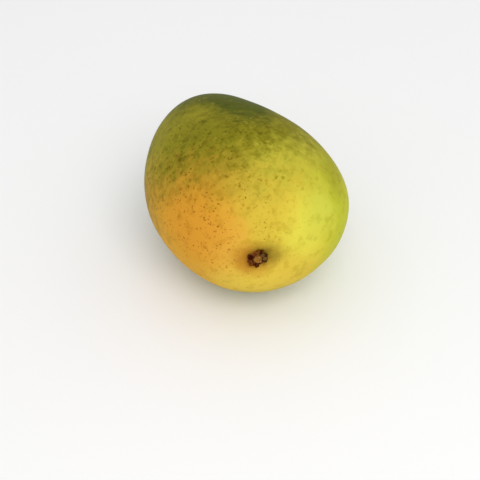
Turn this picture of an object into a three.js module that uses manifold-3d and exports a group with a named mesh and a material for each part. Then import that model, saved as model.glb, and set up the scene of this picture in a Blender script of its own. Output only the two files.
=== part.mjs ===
// One ripe mango of a broad, oval kind, as picked. It lies on its cheek, and what is left of its
// stem, where it broke off the tree, sits in a shallow pit at the blunt end.
// Millimetres, +Z up. The stem end faces -Y, the nose points to +Y, and the belly side, with the
// shallow hollow before the nose, is at +X. The origin is under the middle of the fruit.
import * as THREE from "three";
import { mergeVertices } from "three/addons/utils/BufferGeometryUtils.js";
import Module from "manifold-3d";

// The fruit without its swellings is an ellipsoid.
const HALF_WIDTH = 42;
const HALF_LENGTH = 55.6;
const HALF_THICKNESS = 40.1;

// The stem's place on the skin, given as the swellings' places are.
const STEM_AZIMUTH = 195.3;
const STEM_ELEVATION = 1.1;

// Where the skin stands out of that ellipsoid, or lies below it. Azimuth runs from the nose, +Y,
// towards the belly, +X, and elevation is measured up from the plane through stem and nose, both
// in degrees. Spread is the angle at which a swelling has faded to about a third. Height is a
// share of the radius.
const SWELLINGS = [
  { part: "nose", azimuth: -0.7, elevation: 0, spread: 37.7, height: 0.27 },
  { part: "hollow before the nose", azimuth: 42.3, elevation: 0, spread: 38, height: -0.197 },
  { part: "belly shoulder", azimuth: 120, elevation: 0, spread: 31, height: 0.084 },
  { part: "back", azimuth: -69.3, elevation: 0, spread: 41, height: 0.055 },
  { part: "slope of the back", azimuth: -23.2, elevation: 0, spread: 24.5, height: -0.071 },
  { part: "blunt stem end", azimuth: 182.4, elevation: 0, spread: 26.9, height: -0.135 },
  { part: "upper cheek", azimuth: -20, elevation: 70, spread: 36.2, height: -0.036 },
  { part: "back shoulder", azimuth: -114.6, elevation: 20, spread: 34, height: 0.018 },
  {
    part: "stem pit",
    azimuth: STEM_AZIMUTH,
    elevation: STEM_ELEVATION,
    spread: 7.2,
    height: -0.03,
  },
];

// Lying on its cheek, the fruit dips its nose until its weight is over the spot that it lies on.
const NOSE_DIP = 4.3;
const FLAT_SPOT_DEPTH = 0.7;

// What is left of the stem: a broken woody core, a thin collar round its foot, dried knobs on
// the collar, and a root that stands in a plain hole in the fruit.
const CORE_RADIUS = 1.85;
const CORE_HEIGHT = 2.1;
const COLLAR_RADIUS = 3.7;
const COLLAR_HEIGHT = 0.9;
const ROOT_RADIUS = 1.5;
const ROOT_DEPTH = 3;
const ROUND_SIDES = 20;
const GAP = 0.3;

// The knobs by their turn round the core, in degrees anticlockwise from the belly side as seen
// from outside, their distance from its middle, their radius and their height over the pit.
const KNOBS = [
  { turn: 155, distance: 3.4, radius: 1.3, height: 1.0 },
  { turn: 197, distance: 3.7, radius: 0.85, height: 0.9 },
  { turn: 225, distance: 3.8, radius: 0.9, height: 0.9 },
  { turn: 243, distance: 3.4, radius: 0.7, height: 1.1 },
  { turn: 264, distance: 3.7, radius: 1.1, height: 1.0 },
  { turn: 336, distance: 3.5, radius: 1.0, height: 1.0 },
  { turn: 357, distance: 3.2, radius: 1.1, height: 1.4 },
  { turn: 20, distance: 3.7, radius: 0.85, height: 1.0 },
  { turn: 41, distance: 2.8, radius: 1.05, height: 1.4 },
  { turn: 60, distance: 3.8, radius: 0.9, height: 1.0 },
  { turn: 82, distance: 3.8, radius: 0.85, height: 1.1 },
  { turn: 116, distance: 2.8, radius: 0.8, height: 1.0 },
];

// How finely the skin is divided round the stem's axis, and from stem to nose, where the rings
// crowd towards the pit.
const SIDES = 64;
const RINGS = 46;
const CROWDING = 1.4;

const SKIN = new THREE.MeshStandardMaterial({ color: 0xc4a83a, roughness: 0.5, metalness: 0 });
const STEM = new THREE.MeshStandardMaterial({ color: 0x6b4424, roughness: 0.85, metalness: 0 });

const wasm = await Module();
wasm.setup();

// The unit vector at an azimuth and elevation in the fruit, before it lies down.
function direction(azimuth, elevation) {
  const a = THREE.MathUtils.degToRad(azimuth);
  const e = THREE.MathUtils.degToRad(elevation);
  return new THREE.Vector3(Math.sin(a) * Math.cos(e), Math.cos(a) * Math.cos(e), Math.sin(e));
}

// The distance from the fruit's centre to its skin along a unit vector.
function skinRadius(toward) {
  const inverse = Math.hypot(
    toward.x / HALF_WIDTH,
    toward.y / HALF_LENGTH,
    toward.z / HALF_THICKNESS,
  );
  let share = 1;
  for (const { azimuth, elevation, spread, height } of SWELLINGS) {
    const apart = THREE.MathUtils.radToDeg(toward.angleTo(direction(azimuth, elevation)));
    share += height * Math.exp(-((apart / spread) ** 2));
  }
  return share / inverse;
}

// The skin: a sphere grid with a pole in the stem pit, pushed out to the skin's radius and as
// much further as is asked, then tilted as the fruit lies.
function skinGeometry(outward = 0) {
  const grid = new THREE.SphereGeometry(1, SIDES, RINGS);
  const toStem = new THREE.Quaternion().setFromUnitVectors(
    new THREE.Vector3(0, 1, 0),
    direction(STEM_AZIMUTH, STEM_ELEVATION),
  );
  const places = grid.getAttribute("position");
  const point = new THREE.Vector3();
  const spherical = new THREE.Spherical();
  for (let i = 0; i < places.count; i++) {
    spherical.setFromVector3(point.fromBufferAttribute(places, i));
    spherical.phi = Math.PI * (spherical.phi / Math.PI) ** CROWDING;
    point.setFromSpherical(spherical).applyQuaternion(toStem);
    point.multiplyScalar(skinRadius(point) + outward);
    places.setXYZ(i, point.x, point.y, point.z);
  }
  return grid.applyMatrix4(layDown());
}

// The tilt from the fruit's own axes to the way it lies.
function layDown() {
  return new THREE.Matrix4().makeRotationX(THREE.MathUtils.degToRad(-NOSE_DIP));
}

// The stem's frame: its origin in the bottom of the pit, +X towards the belly and +Z straight out
// of the shoulders on either side of the pit.
function stemFrame() {
  const reach = 12;
  const onSkin = (sideways, upward) => {
    const toward = direction(STEM_AZIMUTH + sideways, STEM_ELEVATION + upward);
    return toward.multiplyScalar(skinRadius(toward));
  };
  const across = onSkin(reach, 0).sub(onSkin(-reach, 0));
  const up = onSkin(0, reach).sub(onSkin(0, -reach));
  const out = up.clone().cross(across);
  return new THREE.Matrix4()
    .lookAt(out, new THREE.Vector3(), up)
    .setPosition(onSkin(0, 0))
    .premultiply(layDown());
}

// A closed geometry as a solid that can be joined and cut.
function solidOf(geometry) {
  const bare = geometry.clone();
  bare.deleteAttribute("normal");
  bare.deleteAttribute("uv");
  const merged = mergeVertices(bare);
  return new wasm.Manifold(
    new wasm.Mesh({
      numProp: 3,
      vertProperties: merged.getAttribute("position").array,
      triVerts: new Uint32Array(merged.index.array),
    }),
  );
}

function geometryOf(solid) {
  const { vertProperties, triVerts } = solid.getMesh();
  const geometry = new THREE.BufferGeometry();
  geometry.setAttribute("position", new THREE.BufferAttribute(vertProperties, 3));
  geometry.setIndex(new THREE.BufferAttribute(triVerts, 1));
  geometry.computeVertexNormals();
  return geometry;
}

// A round rod along the stem's axis, centred on the bottom of the pit.
function rodGeometry(radius, length) {
  return new THREE.CylinderGeometry(radius, radius, length, ROUND_SIDES).rotateX(Math.PI / 2);
}

// The collar and, waisted where it leaves it, the core with its hollow broken top.
function coreGeometry() {
  const profile = [
    [0, -ROOT_DEPTH / 2],
    [COLLAR_RADIUS, -ROOT_DEPTH / 2],
    [COLLAR_RADIUS, 0.9 * COLLAR_HEIGHT],
    [0.9 * COLLAR_RADIUS, COLLAR_HEIGHT],
    [0.85 * CORE_RADIUS, COLLAR_HEIGHT],
    [CORE_RADIUS, 0.7 * CORE_HEIGHT],
    [0.95 * CORE_RADIUS, 0.92 * CORE_HEIGHT],
    [0.75 * CORE_RADIUS, CORE_HEIGHT],
    [0.4 * CORE_RADIUS, 0.9 * CORE_HEIGHT],
    [0, 0.87 * CORE_HEIGHT],
  ].map(([radius, height]) => new THREE.Vector2(radius, height));
  return new THREE.LatheGeometry(profile, ROUND_SIDES).rotateX(Math.PI / 2);
}

// One dried knob, a little longer outwards than it is wide.
function knobGeometry({ turn, distance, radius, height }) {
  return new THREE.IcosahedronGeometry(radius, 1)
    .scale(1.1, 0.9, 0.9)
    .translate(distance, 0, height)
    .rotateZ(THREE.MathUtils.degToRad(turn));
}

// The stub of the stem. What stands out of the fruit stops a gap short of the skin, so that only
// the root reaches into the fruit.
function stemStub(frame) {
  const head = [coreGeometry(), ...KNOBS.map(knobGeometry)]
    .map((geometry) => solidOf(geometry.applyMatrix4(frame)))
    .reduce((whole, piece) => whole.add(piece));
  const rootLength = ROOT_DEPTH + COLLAR_HEIGHT;
  const root = rodGeometry(ROOT_RADIUS, rootLength)
    .translate(0, 0, rootLength / 2 - ROOT_DEPTH)
    .applyMatrix4(frame);
  return head.subtract(solidOf(skinGeometry(GAP))).add(solidOf(root));
}

// The fruit: its skin, less the hole that the stub stands in and a slice off the cheek below,
// which leaves the flat spot that it lies on.
function fruit(frame) {
  const hole = rodGeometry(ROOT_RADIUS + GAP, 2 * (ROOT_DEPTH + GAP)).applyMatrix4(frame);
  const skin = skinGeometry();
  skin.computeBoundingBox();
  const size = skin.boundingBox.getSize(new THREE.Vector3());
  const slice = new THREE.BoxGeometry(size.x, size.y, 2 * FLAT_SPOT_DEPTH);
  slice.translate(0, 0, skin.boundingBox.min.z);
  return solidOf(skin).subtract(solidOf(hole)).subtract(solidOf(slice));
}

// Both pieces, moved so that the origin is under the middle of the whole mango.
function buildMango() {
  const frame = stemFrame();
  const mango = new THREE.Group();
  const addPiece = (name, solid, material) => {
    const mesh = new THREE.Mesh(geometryOf(solid), material);
    mesh.name = name;
    mango.add(mesh);
  };
  addPiece("fruit", fruit(frame), SKIN);
  addPiece("stem_stub", stemStub(frame), STEM);
  const box = new THREE.Box3().setFromObject(mango, true);
  const middle = box.getCenter(new THREE.Vector3());
  mango.position.set(-middle.x, -middle.y, -box.min.z);
  return mango;
}

export default buildMango();
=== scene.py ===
# The looks of one ripe mango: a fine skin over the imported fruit, the dried stub of its stem, their
# materials, and a plain pale floor under soft light, seen as in the photograph.
import math
from functools import reduce
from typing import NamedTuple

import bmesh
import bpy
import numpy as np
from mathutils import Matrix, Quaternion, Vector, noise


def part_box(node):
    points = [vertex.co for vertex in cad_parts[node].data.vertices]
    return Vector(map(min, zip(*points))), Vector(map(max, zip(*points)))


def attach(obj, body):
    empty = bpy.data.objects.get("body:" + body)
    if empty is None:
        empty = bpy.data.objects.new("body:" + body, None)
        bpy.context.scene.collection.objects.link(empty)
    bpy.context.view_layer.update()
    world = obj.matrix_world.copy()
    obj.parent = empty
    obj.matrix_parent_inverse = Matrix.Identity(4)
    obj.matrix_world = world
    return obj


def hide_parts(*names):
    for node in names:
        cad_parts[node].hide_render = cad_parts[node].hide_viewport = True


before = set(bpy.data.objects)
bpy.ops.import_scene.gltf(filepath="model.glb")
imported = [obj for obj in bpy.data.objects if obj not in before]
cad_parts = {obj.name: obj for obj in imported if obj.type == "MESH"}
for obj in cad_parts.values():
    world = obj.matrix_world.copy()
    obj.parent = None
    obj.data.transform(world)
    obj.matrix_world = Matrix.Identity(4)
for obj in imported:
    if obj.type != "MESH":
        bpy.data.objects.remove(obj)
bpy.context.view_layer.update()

# Metres in a millimetre. Shapes are worked out in millimetres, as the fruit's source has them.
MM = 0.001

# The fruit without its swellings is an ellipsoid of these half sizes: width, length, thickness.
HALF_SIZES = (42, 55.6, 40.1)

# Where the stem is, in degrees, and how far to each side of it the skin's slope is taken.
STEM_AZIMUTH = 195.3
STEM_ELEVATION = 1.1
STEM_SPAN = 12

# Where the skin stands out of that ellipsoid or lies below it, as in the fruit's source: azimuth
# from the nose towards the belly, elevation and spread in degrees, height as a share of radius.
SWELLINGS = {
    "nose": (-0.7, 0, 37.7, 0.27),
    "hollow before the nose": (42.3, 0, 38, -0.197),
    "belly shoulder": (120, 0, 31, 0.084),
    "back": (-69.3, 0, 41, 0.055),
    "slope of the back": (-23.2, 0, 24.5, -0.071),
    "blunt stem end": (182.4, 0, 26.9, -0.135),
    "upper cheek": (-20, 70, 36.2, -0.036),
    "back shoulder": (-114.6, 20, 34, 0.018),
    "stem pit": (STEM_AZIMUTH, STEM_ELEVATION, 7.2, -0.03),
}

# How far the nose dips as the fruit lies, in degrees, and the flat spot that it lies on: its depth
# and how gently its edge is rounded.
NOSE_DIP = 4.3
FLAT_SPOT_DEPTH = 0.7
FLAT_SPOT_ROUNDING = 0.12

# The fine skin's grid round the stem's axis and from stem to nose, and how its rings crowd
# towards the pit.
SIDES = 320
RINGS = 230
CROWDING = 1.35

# Gentle waves all over the skin.
WAVES = 14
WAVE_LENGTHS = (13, 34)
WAVE_HEIGHT = 0.035
WAVE_SEED = 4

# Creases that run out of the stem pit: how many, how high, how many degrees from the stem they are
# highest, and how sharply they fade from there. They swing to either side by so many radians, twice
# in a turn, from the start given.
CREASES = 7
CREASE_HEIGHT = 0.14
CREASE_REACH = 7.5
CREASE_SHARPNESS = 3
CREASE_SWING = 0.9
CREASE_SWING_START = 0.7

# The stub of the stem, as in the fruit's source, and how deep its hidden foot goes.
CORE_RADIUS = 1.85
CORE_HEIGHT = 2.1
COLLAR_RADIUS = 3.7
COLLAR_HEIGHT = 0.9
STUB_DEPTH = 1.2


class Knob(NamedTuple):
    """A dried knob: its turn round the core in degrees, its distance from the core's axis, its
    radius and its height over the pit in millimetres, and its colour."""

    turn: float
    distance: float
    radius: float
    height: float
    colour: str


# The two grey knobs are partly painted highlights.
KNOBS = (
    Knob(155, 3.4, 1.3, 1.0, "black"),
    Knob(197, 3.7, 0.85, 0.9, "red"),
    Knob(225, 3.8, 0.9, 0.9, "brown"),
    Knob(243, 3.4, 0.7, 1.1, "red"),
    Knob(264, 3.7, 1.1, 1.0, "dark brown"),
    Knob(336, 3.5, 1.0, 1.0, "dark olive"),
    Knob(357, 3.2, 1.1, 1.4, "grey_and_highlight"),
    Knob(20, 3.7, 0.85, 1.0, "dark olive"),
    Knob(41, 2.8, 1.05, 1.4, "grey_and_highlight"),
    Knob(60, 3.8, 0.9, 1.0, "dark brown"),
    Knob(82, 3.8, 0.85, 1.1, "brown"),
    Knob(116, 2.8, 0.8, 1.0, "red"),
)

# How a knob is stretched outwards, sideways and upwards, how finely knobs and core are made, and
# the grain of the one surface that they are fused into.
KNOB_STRETCH = (1.1, 0.9, 0.9)
KNOB_SUBDIVISIONS = 3
CORE_SIDES = 48
STUB_VOXEL = 0.13

# The stub's roughness: the height of each kind of wrinkle, and how many there are to a millimetre.
WRINKLES = ((0.45, 0.8), (0.25, 2.1), (0.1, 5))

# How sharply one knob's colour gives way to the next one's, and how wide the crevice between them
# is, as a share of their radius.
KNOB_CONTRAST = 9
CREVICE_WIDTH = 0.3

# Where the core's colour ends and how softly, and the dry tissue and painted shade low between the
# knobs, round the stub's foot: the height up to which it is full, how it fades above that, and its
# strength.
CORE_EDGE = 1.08 * CORE_RADIUS
CORE_SOFTNESS = 0.14
TISSUE_AND_SHADE_HEIGHT = 0.75 * COLLAR_HEIGHT
TISSUE_AND_SHADE_FADE = 0.35
TISSUE_AND_SHADE_STRENGTH = 0.7

# The photograph's frame and camera: its side in pixels, the pixel over the middle of the
# ellipsoid, the lens and sensor, where the camera stands, and the nearest that it sees.
FRAME_PIXELS = 480
MIDDLE_PIXEL = (244.3, 194.1)
LENS = 85
SENSOR = 36
CAMERA_AZIMUTH = -22.2
CAMERA_ELEVATION = 41.1
CAMERA_DISTANCE = 526.8
NEAREST_SEEN = 10

# The studio, in metres and watts: the floor, the light from all round, and the key light, which
# stands behind the camera, to one side and higher up.
FLOOR_HALF_SIDE = 6
SKY_STRENGTH = 0.76
KEY_DISTANCE = 1.1
KEY_SHIFT = (0.25, 0, 0.25)
KEY_AIM = (0, 0, 0.04)
KEY_SIZE = 0.8
KEY_WATTS = 5.4


def direction(azimuth, elevation):
    """The unit vector at an azimuth and elevation in the fruit, before it lies down."""
    a, e = math.radians(azimuth), math.radians(elevation)
    return np.array([math.sin(a) * math.cos(e), math.cos(a) * math.cos(e), math.sin(e)])


def degrees_from(toward, other):
    """The angles between rows of unit vectors and another unit vector."""
    return np.degrees(np.arccos(np.clip(toward @ other, -1, 1)))


def skin_radius(toward):
    """The distance from the fruit's middle to its skin along rows of unit vectors."""
    share = np.ones(len(toward))
    for azimuth, elevation, spread, height in SWELLINGS.values():
        apart = degrees_from(toward, direction(azimuth, elevation))
        share += height * np.exp(-((apart / spread) ** 2))
    return share / np.linalg.norm(toward / np.array(HALF_SIZES), axis=1)


def lay_down(points):
    """Tilts points from the fruit's own axes to the way it lies."""
    dip = math.radians(-NOSE_DIP)
    turn = np.array(
        [
            [1, 0, 0],
            [0, math.cos(dip), -math.sin(dip)],
            [0, math.sin(dip), math.cos(dip)],
        ]
    )
    return points @ turn.T


def stem_axes():
    """The stem's origin in the pit and its three axes as rows: towards the belly, up, and out."""

    def on_skin(sideways, upward):
        toward = direction(STEM_AZIMUTH + sideways, STEM_ELEVATION + upward)
        return lay_down(toward * skin_radius(toward[None]))

    across = on_skin(STEM_SPAN, 0) - on_skin(-STEM_SPAN, 0)
    up = on_skin(0, STEM_SPAN) - on_skin(0, -STEM_SPAN)
    out = np.cross(up, across)
    out /= np.linalg.norm(out)
    side = np.cross(up, out)
    side /= np.linalg.norm(side)
    return on_skin(0, 0), np.array([side, np.cross(out, side), out])


def pole_directions():
    """Rows of unit vectors, ring by ring from the stem to the nose, and their turns round it."""
    pole = direction(STEM_AZIMUTH, STEM_ELEVATION)
    side = np.cross([0, 0, 1], pole)
    side /= np.linalg.norm(side)
    up = np.cross(pole, side)
    angle = np.pi * (np.arange(1, RINGS) / RINGS) ** CROWDING
    turn = 2 * np.pi * np.arange(SIDES) / SIDES
    angle, turn = (a.ravel() for a in np.meshgrid(angle, turn, indexing="ij"))
    rings = (
        np.cos(angle)[:, None] * pole
        + (np.sin(angle) * np.cos(turn))[:, None] * side
        + (np.sin(angle) * np.sin(turn))[:, None] * up
    )
    toward = np.vstack([pole, rings, -pole])
    return toward, np.concatenate([[0], turn, [0]])


def ring_faces():
    """The faces of a grid of rings closed by a pole at each end."""
    last = 1 + (RINGS - 1) * SIDES
    faces = []
    for side in range(SIDES):
        beside = (side + 1) % SIDES
        faces.append((0, 1 + side, 1 + beside))
        end = last - SIDES
        faces.append((last, end + beside, end + side))
        for ring in range(RINGS - 2):
            near = 1 + ring * SIDES
            far = near + SIDES
            faces.append((near + side, far + side, far + beside, near + beside))
    return faces


def waves(points):
    """The gentle unevenness of the skin at rows of points, in millimetres."""
    random = np.random.default_rng(WAVE_SEED)
    height = np.zeros(len(points))
    for _ in range(WAVES):
        way = random.normal(size=3)
        way *= 2 * np.pi / (np.linalg.norm(way) * random.uniform(*WAVE_LENGTHS))
        height += WAVE_HEIGHT * np.sin(points @ way + random.uniform(0, 2 * np.pi))
    return height


def creases(toward, turn):
    """Shallow creases that run out of the stem pit and fade, in millimetres."""
    apart = degrees_from(toward, direction(STEM_AZIMUTH, STEM_ELEVATION))
    fade = (apart / CREASE_REACH) * np.exp(1 - apart / CREASE_REACH)
    swing = CREASE_SWING * np.sin(2 * turn + CREASE_SWING_START)
    return CREASE_HEIGHT * fade**CREASE_SHARPNESS * np.sin(CREASES * turn + swing)


def fruit_points():
    """The fine skin's points as the fruit lies, about the ellipsoid's middle."""
    toward, turn = pole_directions()
    skin = toward * skin_radius(toward)[:, None]
    skin += toward * (waves(skin) + creases(toward, turn))[:, None]
    skin = lay_down(skin)
    floor = skin[:, 2].min() + FLAT_SPOT_DEPTH
    over = (skin[:, 2] - floor) / FLAT_SPOT_ROUNDING
    skin[:, 2] = floor + FLAT_SPOT_ROUNDING * np.logaddexp(0, over)
    return skin


class Fitting:
    """Takes points about the ellipsoid's middle, in millimetres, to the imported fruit's place."""

    def __init__(self, points):
        low, high = (np.array(corner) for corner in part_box("fruit"))
        self.start = points.min(axis=0)
        self.scale = (high - low) / (points.max(axis=0) - self.start)
        self.low = low

    def place(self, points):
        return self.low + (points - self.start) * self.scale


def new_object(name, points, faces, material):
    """A smooth-shaded mesh object in the scene."""
    mesh = bpy.data.meshes.new(name)
    mesh.from_pydata(np.asarray(points).tolist(), [], faces)
    mesh.shade_smooth()
    mesh.materials.append(material)
    made = bpy.data.objects.new(name, mesh)
    bpy.context.scene.collection.objects.link(made)
    return made


def lathe(profile, sides):
    """A closed solid of revolution about Z from (radius, height) pairs between two axis points."""
    turns = [2 * math.pi * i / sides for i in range(sides)]
    points = [(0, 0, profile[0][1])]
    for radius, height in profile[1:-1]:
        points += [(radius * math.cos(t), radius * math.sin(t), height) for t in turns]
    points.append((0, 0, profile[-1][1]))
    top = len(points) - 1
    faces = []
    for i in range(sides):
        j = (i + 1) % sides
        faces.append((0, 1 + j, 1 + i))
        faces.append((top, top - sides + i, top - sides + j))
        for ring in range(len(profile) - 3):
            near = 1 + ring * sides
            faces.append((near + i, near + j, near + sides + j, near + sides + i))
    return points, faces


def knob_ball(knob):
    """A knob's points and faces: a ball, a little longer outwards than it is wide."""
    shape = bmesh.new()
    bmesh.ops.create_icosphere(shape, subdivisions=KNOB_SUBDIVISIONS, radius=knob.radius)
    points = np.array([v.co for v in shape.verts]) * KNOB_STRETCH
    points += (knob.distance, 0, knob.height)
    faces = [tuple(v.index for v in face.verts) for face in shape.faces]
    shape.free()
    a = math.radians(knob.turn)
    about_z = np.array(
        [
            [math.cos(a), math.sin(a), 0],
            [-math.sin(a), math.cos(a), 0],
            [0, 0, 1],
        ]
    )
    return (points @ about_z).tolist(), faces


def fused(parts, voxel):
    """The points and faces of one closed surface round overlapping closed parts."""
    points, faces = [], []
    for part_points, part_faces in parts:
        start = len(points)
        points += part_points
        faces += [tuple(start + i for i in face) for face in part_faces]
    mesh = bpy.data.meshes.new("parts")
    mesh.from_pydata(points, [], faces)
    helper = bpy.data.objects.new("parts", mesh)
    bpy.context.scene.collection.objects.link(helper)
    remesh = helper.modifiers.new("fuse", "REMESH")
    remesh.mode = "VOXEL"
    remesh.voxel_size = voxel
    whole = helper.evaluated_get(bpy.context.evaluated_depsgraph_get()).to_mesh()
    points = np.array([v.co for v in whole.vertices])
    faces = [tuple(face.vertices) for face in whole.polygons]
    bpy.data.objects.remove(helper)
    bpy.data.meshes.remove(mesh)
    return points, faces


def knob_centres():
    """The knobs' middles in the stem's frame, in millimetres."""
    turns = np.radians([knob.turn for knob in KNOBS])
    out = np.array([knob.distance for knob in KNOBS])
    height = [knob.height for knob in KNOBS]
    return np.stack([out * np.cos(turns), out * np.sin(turns), height], axis=1)


def stub_points():
    """The fused stub in the stem's frame, roughened as dry wood and shrivelled knobs are."""
    core = [
        (0, -STUB_DEPTH),
        (COLLAR_RADIUS, -STUB_DEPTH),
        (COLLAR_RADIUS, 0.6 * COLLAR_HEIGHT),
        (0.9 * COLLAR_RADIUS, 0.9 * COLLAR_HEIGHT),
        (0.85 * CORE_RADIUS, COLLAR_HEIGHT),
        (CORE_RADIUS, 0.7 * CORE_HEIGHT),
        (0.95 * CORE_RADIUS, 0.92 * CORE_HEIGHT),
        (0.75 * CORE_RADIUS, CORE_HEIGHT),
        (0.4 * CORE_RADIUS, 0.9 * CORE_HEIGHT),
        (0, 0.87 * CORE_HEIGHT),
    ]
    parts = [lathe(core, CORE_SIDES)] + [knob_ball(knob) for knob in KNOBS]
    points, faces = fused(parts, STUB_VOXEL)
    rough = []
    for point in points:
        place = Vector(point)
        rough.append(sum(height * noise.noise(place * rate) for height, rate in WRINKLES))
    away = points - points.mean(axis=0)
    away /= np.linalg.norm(away, axis=1)[:, None]
    return points + away * np.array(rough)[:, None], faces


def stub_shades(points):
    """The knobs' colours at the stub's points, and how much of crevice, with its painted shade and
    dry tissue, and of core each is.
    """
    radii = np.array([knob.radius for knob in KNOBS])
    colours = np.array([KNOB_COLOURS[knob.colour] for knob in KNOBS])
    apart = np.linalg.norm(points[:, None] - knob_centres()[None], axis=2) / radii
    weight = np.exp(-KNOB_CONTRAST * apart)
    knob = weight @ colours / weight.sum(axis=1)[:, None]
    apart.sort(axis=1)
    crevice = np.exp(-(((apart[:, 1] - apart[:, 0]) / CREVICE_WIDTH) ** 2))
    axis_distance = np.linalg.norm(points[:, :2], axis=1)
    core = 1 / (1 + np.exp((axis_distance - CORE_EDGE) / CORE_SOFTNESS))
    low = np.exp(-np.clip(points[:, 2] - TISSUE_AND_SHADE_HEIGHT, 0, None) / TISSUE_AND_SHADE_FADE)
    crevice = np.maximum(crevice * (1 - core), TISSUE_AND_SHADE_STRENGTH * low)
    return knob, {"crevice": crevice, "core": core}


class Patch(NamedTuple):
    """A part of the skin inside an ellipsoid of that middle and reach. It fades out at the edge
    over the softness, a share of the reach. Strength is what it has inside."""

    middle: tuple
    reach: tuple
    softness: float
    strength: float
    colour: tuple = None


class Spots(NamedTuple):
    """Round marks, one to a cell of the spacing, with radii from smallest to largest, an edge that
    fades over so many millimetres, and how strong they are."""

    spacing: float
    smallest: float
    largest: float
    edge: float
    strength: float


class Shader:
    """One material's nodes, added a call at a time. Lengths in its textures are millimetres."""

    # The sockets for a colour on the node that mixes: factor, both colours, and the result.
    MIX_SOCKETS = (0, 6, 7)
    MIX_RESULT = 2

    # The value that a noise goes up and down from.
    NOISE_MIDDLE = 0.5

    def __init__(self, name):
        self.material = bpy.data.materials.new(name)
        self.material.use_nodes = True
        self.tree = self.material.node_tree
        self.tree.nodes.clear()

    def feed(self, socket, value):
        """Links a socket to another node's output, or sets it to a constant."""
        if isinstance(value, bpy.types.NodeSocket):
            self.tree.links.new(value, socket)
        else:
            socket.default_value = value

    def add(self, kind, inputs, **settings):
        """A node of that kind with its settings and inputs."""
        node = self.tree.nodes.new(kind)
        for name, value in settings.items():
            setattr(node, name, value)
        for name, value in inputs.items():
            self.feed(node.inputs[name], value)
        return node

    def math(self, operation, a, b):
        return self.add("ShaderNodeMath", {0: a, 1: b}, operation=operation).outputs[0]

    def times(self, *factors):
        """The product of all the factors."""
        return reduce(lambda a, b: self.math("MULTIPLY", a, b), factors)

    def vector(self, operation, a, b):
        return self.add("ShaderNodeVectorMath", {0: a, 1: b}, operation=operation)

    def point(self):
        """The place on the object, in millimetres."""
        place = self.add("ShaderNodeTexCoord", {}).outputs["Object"]
        return self.vector("MULTIPLY", place, (1 / MM,) * 3).outputs[0]

    def fade(self, value, none, full):
        """0 where value is at none, 1 where it is at full, smooth between them."""
        inputs = {"Value": value, "From Min": none, "From Max": full}
        return self.add("ShaderNodeMapRange", inputs, interpolation_type="SMOOTHSTEP").outputs[0]

    def noise(self, point, size, detail=2.0, roughness=0.5, output="Fac"):
        inputs = {"Vector": point, "Scale": 1 / size, "Detail": detail, "Roughness": roughness}
        return self.add("ShaderNodeTexNoise", inputs).outputs[output]

    def blend(self, factor, a, b, how):
        node = self.add("ShaderNodeMix", {}, data_type="RGBA", blend_type=how)
        for socket, value in zip(self.MIX_SOCKETS, (factor, a, b)):
            self.feed(node.inputs[socket], value)
        return node.outputs[self.MIX_RESULT]

    def mix(self, factor, a, b):
        """Colour a where the factor is 0, and b where it is 1."""
        return self.blend(factor, a, b, "MIX")

    def darken(self, colour, factor, tint):
        """The colour times a tint, by that factor."""
        return self.blend(factor, colour, tint, "MULTIPLY")

    def inside(self, point, patch):
        """How far a patch covers the point: its strength in the middle, 0 outside."""
        off = self.vector("SUBTRACT", point, patch.middle).outputs[0]
        share = self.vector("DIVIDE", off, patch.reach).outputs[0]
        length = self.vector("LENGTH", share, (0, 0, 0)).outputs["Value"]
        return self.times(self.fade(length, 1.0, 1.0 - patch.softness), patch.strength)

    def stain(self, colour, point, patches):
        """The colour under those patches, one after the other."""
        for patch in patches:
            colour = self.mix(self.inside(point, patch), colour, patch.colour)
        return colour

    def wander(self, point, size, reach):
        """The point moved at random by up to about half of reach, in swirls of that size."""
        drift = self.noise(point, size, detail=3, output="Color")
        drift = self.vector("SUBTRACT", drift, (self.NOISE_MIDDLE,) * 3).outputs[0]
        drift = self.vector("MULTIPLY", drift, (2 * reach,) * 3).outputs[0]
        return self.vector("ADD", point, drift).outputs[0]

    def spots(self, point, spots):
        """Seeded spots of random sizes: their strength inside them, 0 outside."""
        cells = self.add("ShaderNodeTexVoronoi", {"Vector": point, "Scale": 1 / spots.spacing})
        random = self.add("ShaderNodeSeparateColor", {"Color": cells.outputs["Color"]})
        distance = self.times(cells.outputs["Distance"], spots.spacing)
        sizes = {"To Min": spots.smallest, "To Max": spots.largest}
        radius = self.add("ShaderNodeMapRange", {"Value": random.outputs[0], **sizes}).outputs[0]
        depth = self.math("SUBTRACT", radius, distance)
        return self.times(self.fade(depth, 0.0, spots.edge), spots.strength)

    def finish(self, **inputs):
        """The surface itself, with these inputs of the shader set."""
        surface = self.add("ShaderNodeBsdfPrincipled", {})
        for name, value in inputs.items():
            self.feed(surface.inputs[name.replace("_", " ")], value)
        self.add("ShaderNodeOutputMaterial", {"Surface": surface.outputs[0]})
        return self.material


def tone(red, green, blue):
    """A colour given as on a screen, from 0 to 255, in the shader's linear terms."""
    linear = [
        c / 12.92 if c <= 0.04045 else ((c + 0.055) / 1.055) ** 2.4
        for c in (red / 255, green / 255, blue / 255)
    ]
    return (*linear, 1.0)


GOLD = tone(216, 162, 44)
LEMON = tone(212, 184, 60)
LIME = tone(188, 191, 48)
# Bright yellow, partly a painted highlight.
BRIGHT_AND_PAINTED_HIGHLIGHT = tone(222, 210, 74)
PALE_LIME = tone(203, 204, 72)
STEM_GOLD = tone(223, 193, 70)
BLUSH = tone(216, 150, 46)
WARM = tone(228, 175, 70)
KHAKI_BROWN = tone(178, 142, 42)
KHAKI_GREEN = tone(187, 179, 57)
FLANK_KHAKI = tone(186, 164, 48)
OLIVE = tone(132, 126, 24)
PALE_OLIVE = tone(158, 150, 32)
# The nose's dark green, partly painted shade.
NOSE_GREEN_AND_SHADE = tone(86, 92, 12)
SHADE_GREEN = tone(150, 152, 44)
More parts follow.
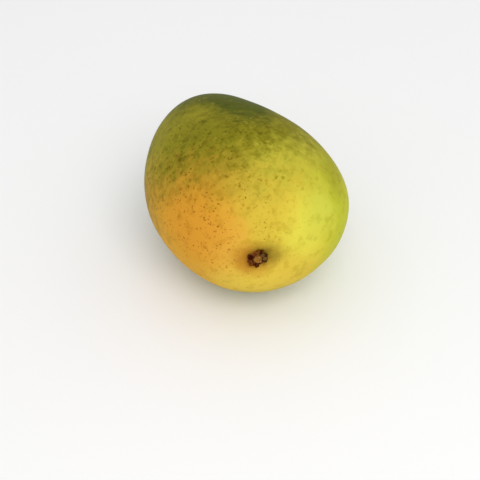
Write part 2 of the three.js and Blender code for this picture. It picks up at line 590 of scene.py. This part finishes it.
# A darker green for a band of painted shade inside the belly's edge.
PAINTED_SHADE_BAND = tone(162, 160, 34)
# Round the stem: stain colours, the olive and the orange also used for painted shade, and a dark
# painted shade in the pit.
HALO_OLIVE_AND_SHADE = tone(136, 110, 28)
HALO_ORANGE_AND_SHADE = tone(184, 121, 33)
PIT_PAINTED_SHADE = tone(86, 48, 12)
PALE_FLECK = tone(172, 164, 56)

# Where one thing gives way to another: the place up to which there is none of it, and the place
# from which there is all of it. Along X, from the back to the belly, in millimetres:
LEMON_FROM_GOLD = (-34, -8)
LIME_FROM_LEMON = (4, 30)
GREEN_FROM_BROWN = (-24, 6)
FRECKLED = (22, -22)
PLAIN = (8, 24)
# Along Z:
UNDERSIDE = (24, 2)
UPPER_SIDE = (26, 44)
# Along the way to the nose, which is 0 about halfway along the top of the fruit:
KHAKI = (-64, -24)
OLIVE_FROM_KHAKI = (-36, -4)
GREEN_NOSE = (6, 34)
MOTTLED = (-50, -18)
MORE_MOTTLED = (26, -6)
BLOTCHED = (-74, -34)
CALM = (-8, 22)

# How strong the shade below gets, the mottling at the nose and how much more away from it, how far
# the belly is plain and the nose calm, and the least share of the freckles below the upper side.
UNDERSIDE_STRENGTH = 0.75
MOTTLE_STRENGTH = (0.15, 0.4)
PLAIN_STRENGTH = 0.65
CALM_STRENGTH = 0.6
LEAST_FRECKLES = 0.3

# The way to the nose is Y, made shorter low on the cheek and longer out on the belly: the heights
# between which it is shortened, the X from which it is lengthened, and by what share.
CHEEK_HEIGHTS = (46, 74)
CHEEK_SHARE = 1.2
BELLY_START = 14
BELLY_SHARE = 0.5

# How things wander on the skin: the size and reach of the swirls for the broad regions, the halo
# and the small marks. The regions between stem and nose are also ragged, by a noise of that size
# and reach.
DRIFTS = ((15, 6), (5, 2.5))
HALO_DRIFT = (5, 2.5)
FINE_DRIFT = (1.6, 1.3)
RAGGED_SIZE = 5
RAGGED_REACH = 44

# Patches of their own colours: at the stem end, the brightest of them partly a painted highlight;
# the blush; where the olive is pale; on the flanks, one of them a green band of painted shade.
STEM_END = (
    # Bright yellow, partly a painted highlight.
    Patch((10, -52, 51), (17, 24, 25), softness=0.8, strength=1, colour=BRIGHT_AND_PAINTED_HIGHLIGHT),
    Patch((18, -49, 58), (14, 22, 20), softness=0.9, strength=0.8, colour=PALE_LIME),
    Patch((-14, -54, 30), (36, 28, 24), softness=0.9, strength=1, colour=STEM_GOLD),
    Patch((-25, -47, 50), (19, 18, 26), softness=0.9, strength=0.7, colour=WARM),
)
BLUSHED = (Patch((-35, -35, 54), (26, 32, 27), softness=0.8, strength=0.85, colour=BLUSH),)
PALE_BACK = Patch((-28, 25, 61), (21, 36, 25), softness=0.9, strength=0.6)
PALE_NOSE = Patch((-14, 19, 72), (14, 15, 15), softness=0.9, strength=0.6)
FLANKS_AND_SHADE_BAND = (
    Patch((-39, 10, 56), (10, 15, 15), softness=1, strength=0.75, colour=FLANK_KHAKI),
    # A band of painted shade inside the belly's edge.
    Patch((33, -30, 62), (11, 27, 17), softness=1, strength=0.85, colour=PAINTED_SHADE_BAND),
)
# The green of the nose, partly painted shade, comes up to this many millimetres nearer to the stem
# on top of the fruit.
TONGUE = Patch((10, 10, 74), (22, 44, 40), softness=1, strength=27)

# The stained skin round the stem, with painted shade: an orange stain on one side, an olive stain
# with painted shade on the other, painted shade below the pit's lip and dark painted shade in the
# pit. Middles are counted from the stem's origin.
HALO = (
    Patch((-4, 0, 1), (12, 10, 11), softness=0.85, strength=0.9, colour=HALO_ORANGE_AND_SHADE),
    # Olive stain with painted shade in the side of the pit.
    Patch((3.5, 0, 0.8), (13, 9, 10), softness=0.85, strength=0.9, colour=HALO_OLIVE_AND_SHADE),
    # Painted shade below the pit's lip.
    Patch((-1, 0, -5.5), (13, 9, 8), softness=0.85, strength=0.5, colour=HALO_ORANGE_AND_SHADE),
    # Dark painted shade in the pit round the stub.
    Patch((0, 0, -0.8), (6.5, 6, 6.1), softness=0.85, strength=0.85, colour=PIT_PAINTED_SHADE),
)

# What smudges, blotches, stains, freckles and the stub's grain leave of the colour under them.
SMUDGE_TINT = (0.72, 0.68, 0.45, 1)
BLOTCH_TINT = (0.55, 0.53, 0.15, 1)
STAIN_TINT = (0.62, 0.48, 0.3, 1)
FRECKLE_TINT = (0.42, 0.28, 0.1, 1)
GRAIN_TINT = (0.45, 0.36, 0.2, 1)

# Marks that follow a noise: its size, and its values at which they start and are full. Blotches
# come in clusters, and stains and freckles gather, in the same way.
SMUDGE_SIZE = 4.2
SMUDGED = (0.5, 0.68)
SMUDGE_STRENGTH = 0.45
MOTTLE_SIZE = 3.2
MOTTLE_SHOWS = (0.48, 0.64)
CLUSTER_SIZE = 8
CLUSTERED = (0.38, 0.56)
GATHERING_SIZE = 11
GATHERED = (0.34, 0.54)
PALE_SPOTS = Spots(spacing=3, smallest=0.3, largest=1.0, edge=0.8, strength=0.45)
BLOTCHES = Spots(spacing=2.7, smallest=0.4, largest=1.3, edge=0.7, strength=0.8)
STAINS = Spots(spacing=2.1, smallest=0.1, largest=1.15, edge=0.9, strength=0.75)
FRECKLES = Spots(spacing=1.3, smallest=0.1, largest=0.62, edge=0.36, strength=0.85)

# The skin's relief and gloss.
PORE_SIZE = 0.55
FRECKLE_RELIEF = 0.6
GLOSS_SIZE = 5


def way_to_nose(shader, x, y, z):
    """How far towards the nose a place is, as the skin's colours go."""
    low, high = CHEEK_HEIGHTS
    rise = shader.math("SUBTRACT", shader.math("MAXIMUM", z, low), high)
    belly = shader.math("MAXIMUM", shader.math("SUBTRACT", x, BELLY_START), 0)
    noseward = shader.math("ADD", y, shader.times(rise, CHEEK_SHARE))
    return shader.math("ADD", noseward, shader.times(belly, BELLY_SHARE))


def skin_colours(shader, point):
    """The skin's broad regions of colour, with a painted highlight and painted shade among them, the
    way to the nose, and X and Z with their drift.
    """
    drifted = point
    for drift in DRIFTS:
        drifted = shader.wander(drifted, *drift)
    x, y, z = shader.add("ShaderNodeSeparateXYZ", {"Vector": drifted}).outputs
    colour = shader.mix(shader.fade(x, *LEMON_FROM_GOLD), GOLD, LEMON)
    colour = shader.mix(shader.fade(x, *LIME_FROM_LEMON), colour, LIME)
    colour = shader.stain(colour, drifted, STEM_END)

    noseward = way_to_nose(shader, x, y, z)
    unevenness = shader.noise(point, RAGGED_SIZE, detail=4, roughness=0.6)
    unevenness = shader.math("SUBTRACT", unevenness, shader.NOISE_MIDDLE)
    ragged = shader.math("ADD", noseward, shader.times(unevenness, RAGGED_REACH))
    khaki = shader.mix(shader.fade(x, *GREEN_FROM_BROWN), KHAKI_BROWN, KHAKI_GREEN)
    colour = shader.mix(shader.fade(ragged, *KHAKI), colour, khaki)
    colour = shader.stain(colour, drifted, BLUSHED)
    colour = shader.mix(shader.fade(ragged, *OLIVE_FROM_KHAKI), colour, OLIVE)
    # The nose's dark green, partly painted shade.
    greener_and_shaded = shader.math("ADD", ragged, shader.inside(drifted, TONGUE))
    colour = shader.mix(shader.fade(greener_and_shaded, *GREEN_NOSE), colour, NOSE_GREEN_AND_SHADE)
    pale = [shader.inside(drifted, patch) for patch in (PALE_BACK, PALE_NOSE)]
    colour = shader.mix(shader.math("MAXIMUM", *pale), colour, PALE_OLIVE)
    colour = shader.stain(colour, drifted, FLANKS_AND_SHADE_BAND)
    under = shader.times(shader.fade(z, *UNDERSIDE), UNDERSIDE_STRENGTH)
    colour = shader.mix(under, colour, SHADE_GREEN)
    return colour, noseward, x, z


def halo(shader, point, stem, colour):
    """The stained skin round the stem with painted shade: orange stain on one side, olive stain and
    painted shade on the other, painted shade below the pit's lip and in the pit.
    """
    swirled = shader.wander(point, *HALO_DRIFT)
    from_stem = shader.vector("SUBTRACT", swirled, tuple(stem)).outputs[0]
    return shader.stain(colour, from_stem, HALO)


def skin_material(stem):
    """Waxy skin: broad drifting regions of colour with a painted highlight and painted shade,
    mottling, freckles and the stem's halo of stain and painted shade.
    """
    shader = Shader("mango_skin")
    point = shader.point()
    colour, noseward, x, z = skin_colours(shader, point)
    uneven = shader.wander(point, *FINE_DRIFT)
    olive = shader.fade(noseward, *MOTTLED)
    plainer = shader.times(shader.fade(x, *PLAIN), PLAIN_STRENGTH)

    smudge = shader.fade(shader.noise(uneven, SMUDGE_SIZE, detail=3), *SMUDGED)
    colour = shader.darken(colour, shader.times(smudge, SMUDGE_STRENGTH), SMUDGE_TINT)

    least, more = MOTTLE_STRENGTH
    strength = shader.times(shader.fade(noseward, *MORE_MOTTLED), more)
    strength = shader.math("ADD", strength, least)
    mottle = shader.fade(shader.noise(uneven, MOTTLE_SIZE), *MOTTLE_SHOWS)
    mottle = shader.times(mottle, olive, strength, shader.math("SUBTRACT", 1, plainer))
    colour = shader.darken(colour, mottle, BLOTCH_TINT)

    pale = shader.times(shader.spots(uneven, PALE_SPOTS), olive)
    colour = shader.mix(pale, colour, PALE_FLECK)

    clusters = shader.fade(shader.noise(point, CLUSTER_SIZE), *CLUSTERED)
    calm = shader.times(shader.fade(noseward, *CALM), CALM_STRENGTH)
    calm = shader.math("MAXIMUM", calm, plainer)
    blotch = shader.times(
        shader.spots(uneven, BLOTCHES),
        clusters,
        shader.fade(noseward, *BLOTCHED),
        shader.math("SUBTRACT", 1, calm),
    )
    colour = shader.darken(colour, blotch, BLOTCH_TINT)

    gathered = shader.times(
        shader.fade(shader.noise(point, GATHERING_SIZE), *GATHERED),
        shader.fade(x, *FRECKLED),
        shader.math("MAXIMUM", shader.fade(z, *UPPER_SIDE), LEAST_FRECKLES),
    )
    stain = shader.times(shader.spots(uneven, STAINS), gathered)
    colour = shader.darken(colour, stain, STAIN_TINT)
    freckle = shader.times(shader.spots(uneven, FRECKLES), gathered)
    colour = shader.darken(colour, freckle, FRECKLE_TINT)

    colour = halo(shader, point, stem, colour)

    pores = shader.noise(point, PORE_SIZE)
    relief = shader.math("ADD", pores, shader.times(freckle, FRECKLE_RELIEF))
    bump = shader.add(
        "ShaderNodeBump",
        {"Strength": 0.18, "Distance": 0.03 * MM, "Height": relief},
    )
    gloss = shader.noise(point, GLOSS_SIZE)
    roughness = shader.add(
        "ShaderNodeMapRange",
        {"Value": gloss, "To Min": 0.46, "To Max": 0.58},
    )
    return shader.finish(
        Base_Color=colour,
        Roughness=roughness.outputs[0],
        Normal=bump.outputs[0],
        Specular_IOR_Level=0.04,
    )


CORE_TAN = tone(164, 108, 48)
CORE_OLIVE = tone(148, 108, 40)
CORE_DARK = tone(78, 44, 12)
DRY_TISSUE = tone(160, 104, 52)
# Painted shade in the crevices between the knobs and round the stub's foot.
CREVICE_SHADE = tone(40, 12, 0)
KNOB_COLOURS = {
    "black": tone(62, 4, 0),
    "dark olive": tone(60, 42, 6),
    "dark brown": tone(78, 38, 4),
    "red": tone(112, 50, 18),
    "brown": tone(122, 66, 18),
    # A pale grey, partly a painted highlight.
    "grey_and_highlight": tone(112, 82, 42),
}

# The stub's grain and clouds: their sizes, and the noise's values between which each thing comes.
GRAIN_SIZE = 0.8
KNOB_GRAIN = (0.42, 0.62)
CORE_GRAIN = (0.48, 0.64)
CLOUD_SIZE = 1.5
OLIVE_CLOUDS = (0.46, 0.6)
TISSUE_CLOUDS = (0.42, 0.56)


def stub_material():
    """Dry stem wood and shrivelled knobs, coloured by what is kept on the stub's points, with
    painted shade in the crevices and round the foot.
    """
    shader = Shader("dry_stem")
    point = shader.point()

    def kept(name, output="Fac"):
        return shader.add("ShaderNodeAttribute", {}, attribute_name=name).outputs[output]

    grain = shader.noise(point, GRAIN_SIZE, detail=4, roughness=0.65)
    colour = shader.darken(kept("knob", "Color"), shader.fade(grain, *KNOB_GRAIN), GRAIN_TINT)
    cloud = shader.noise(point, CLOUD_SIZE)
    core = shader.mix(shader.fade(cloud, *OLIVE_CLOUDS), CORE_TAN, CORE_OLIVE)
    core = shader.mix(shader.fade(grain, *CORE_GRAIN), core, CORE_DARK)
    colour = shader.mix(kept("core"), colour, core)
    # The crevices and the foot: painted shade, with dry tissue showing in clouds.
    tissue_or_shade = shader.mix(shader.fade(cloud, *TISSUE_CLOUDS), CREVICE_SHADE, DRY_TISSUE)
    colour = shader.mix(kept("crevice"), colour, tissue_or_shade)
    bump = shader.add(
        "ShaderNodeBump",
        {"Strength": 0.6, "Distance": 0.12 * MM, "Height": grain},
    )
    return shader.finish(
        Base_Color=colour,
        Roughness=0.75,
        Normal=bump.outputs[0],
        Specular_IOR_Level=0.03,
    )


FLOOR_TONES = (tone(246, 246, 246), tone(250, 250, 250))
FLOOR_CLOUD_SIZE = 240


def floor_material():
    """A matt, pale, almost even floor."""
    shader = Shader("pale_floor")
    cloud = shader.noise(shader.point(), FLOOR_CLOUD_SIZE)
    return shader.finish(Base_Color=shader.mix(cloud, *FLOOR_TONES), Roughness=0.9)


def build_fruit():
    """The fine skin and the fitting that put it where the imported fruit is."""
    points = fruit_points()
    fitting = Fitting(points)
    stem = fitting.place(stem_axes()[0]) / MM
    fruit = new_object("mango_skin", fitting.place(points), ring_faces(), skin_material(stem))
    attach(fruit, "root")
    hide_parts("fruit")
    return fitting


def build_stub(fitting):
    """The dried stub, grown into the bottom of the stem pit."""
    points, faces = stub_points()
    origin, axes = stem_axes()
    placed = fitting.place(points @ axes + origin)
    stub = new_object("mango_stem_stub", placed, faces, stub_material())
    knob, amounts = stub_shades(points)
    colours = stub.data.attributes.new("knob", "FLOAT_COLOR", "POINT")
    colours.data.foreach_set("color", knob.ravel())
    for name, values in amounts.items():
        stub.data.attributes.new(name, "FLOAT", "POINT").data.foreach_set("value", values)
    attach(stub, "root")
    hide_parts("stem_stub")


def build_camera(middle):
    """The photograph's camera: its place, and its aim, which puts the fruit where it is there."""
    azimuth, elevation = math.radians(CAMERA_AZIMUTH), math.radians(CAMERA_ELEVATION)
    back = Vector(
        (
            math.sin(azimuth) * math.cos(elevation),
            -math.cos(azimuth) * math.cos(elevation),
            math.sin(elevation),
        )
    )
    camera = bpy.data.objects.new("camera", bpy.data.cameras.new("camera"))
    camera.data.lens = LENS
    camera.data.sensor_width = SENSOR
    camera.data.clip_start = NEAREST_SEEN * MM
    camera.location = Vector(middle) + back * CAMERA_DISTANCE * MM
    pixels_per_tangent = LENS / SENSOR * FRAME_PIXELS
    right, down = (pixel - FRAME_PIXELS / 2 for pixel in MIDDLE_PIXEL)
    look_left = Quaternion((0, 1, 0), math.atan(right / pixels_per_tangent))
    look_up = Quaternion((1, 0, 0), math.atan(down / pixels_per_tangent))
    camera.rotation_mode = "QUATERNION"
    camera.rotation_quaternion = (-back).to_track_quat("-Z", "Y") @ look_up @ look_left
    bpy.context.scene.collection.objects.link(camera)
    bpy.context.scene.camera = camera
    return back


def build_light(back):
    """Even light from all round, and a soft square light from over the camera's shoulder."""
    world = bpy.data.worlds.new("studio")
    world.use_nodes = True
    background = world.node_tree.nodes["Background"]
    background.inputs["Color"].default_value = (1, 1, 1, 1)
    background.inputs["Strength"].default_value = SKY_STRENGTH
    bpy.context.scene.world = world
    key = bpy.data.objects.new("key", bpy.data.lights.new("key", "AREA"))
    key.data.size = KEY_SIZE
    key.data.energy = KEY_WATTS
    key.location = back * KEY_DISTANCE + Vector(KEY_SHIFT)
    key.rotation_mode = "QUATERNION"
    key.rotation_quaternion = (Vector(KEY_AIM) - key.location).to_track_quat("-Z", "Y")
    bpy.context.scene.collection.objects.link(key)


def build_floor():
    """A plain pale floor."""
    side = FLOOR_HALF_SIDE
    corners = [(-side, -side, 0), (side, -side, 0), (side, side, 0), (-side, side, 0)]
    floor = new_object("floor", corners, [(0, 1, 2, 3)], floor_material())


def main():
    """Builds the mango, the camera, the floor and the light."""
    bpy.context.scene.view_settings.view_transform = "Standard"
    fitting = build_fruit()
    middle = fitting.place(np.zeros(3))
    back = build_camera(middle)
    build_stub(fitting)
    build_floor()
    build_light(back)


main()
